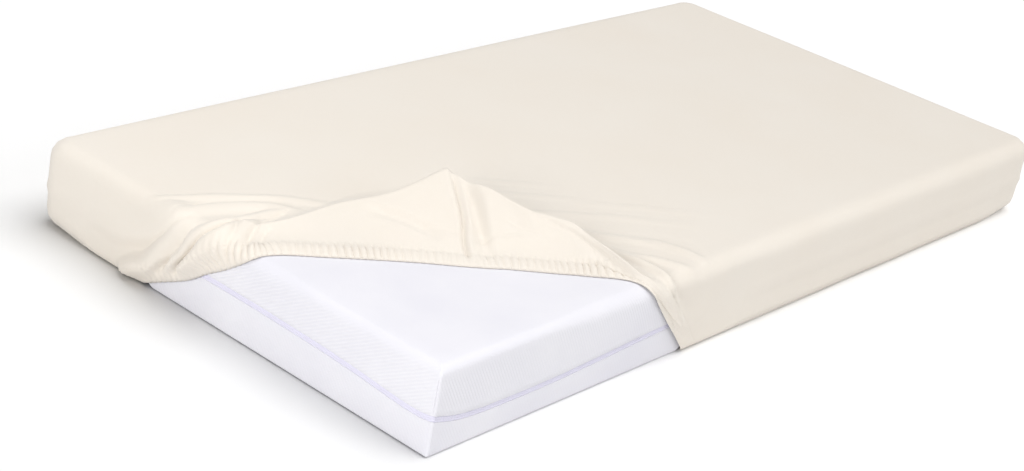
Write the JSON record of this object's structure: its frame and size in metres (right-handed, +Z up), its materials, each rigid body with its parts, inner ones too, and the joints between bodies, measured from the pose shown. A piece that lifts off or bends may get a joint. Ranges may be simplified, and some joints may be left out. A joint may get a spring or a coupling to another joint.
{
  "type": "fitted sheet on a cot mattress",
  "caption": "Elastic-hemmed fitted sheet stretched over a thin zipped cot mattress, with one corner pulled off and standing as a soft folded peak above the bare corner.",
  "frame": {"origin": "middle of the mattress's underside, on the surface that it lies on", "axes": "+X along the mattress's long side, away from the short side with the bare corner; +Y along its short side, away from the long side with the bare corner; +Z up"},
  "size_m": [1.2198, 0.6148, 0.1558],
  "materials": {
    "sheet_jersey": "cream cotton jersey, matt, with a gathered elastic hem",
    "mattress_knit": "white ribbed polyester knit cover over foam",
    "zip_nylon": "pale lilac nylon coil zip on woven tape"
  },
  "bodies": {
    "root": {"fitted_sheet": "sheet_jersey", "mattress_upper": "mattress_knit", "mattress_lower": "mattress_knit", "zip_tape": "zip_nylon"}
  },
  "joints": []
}
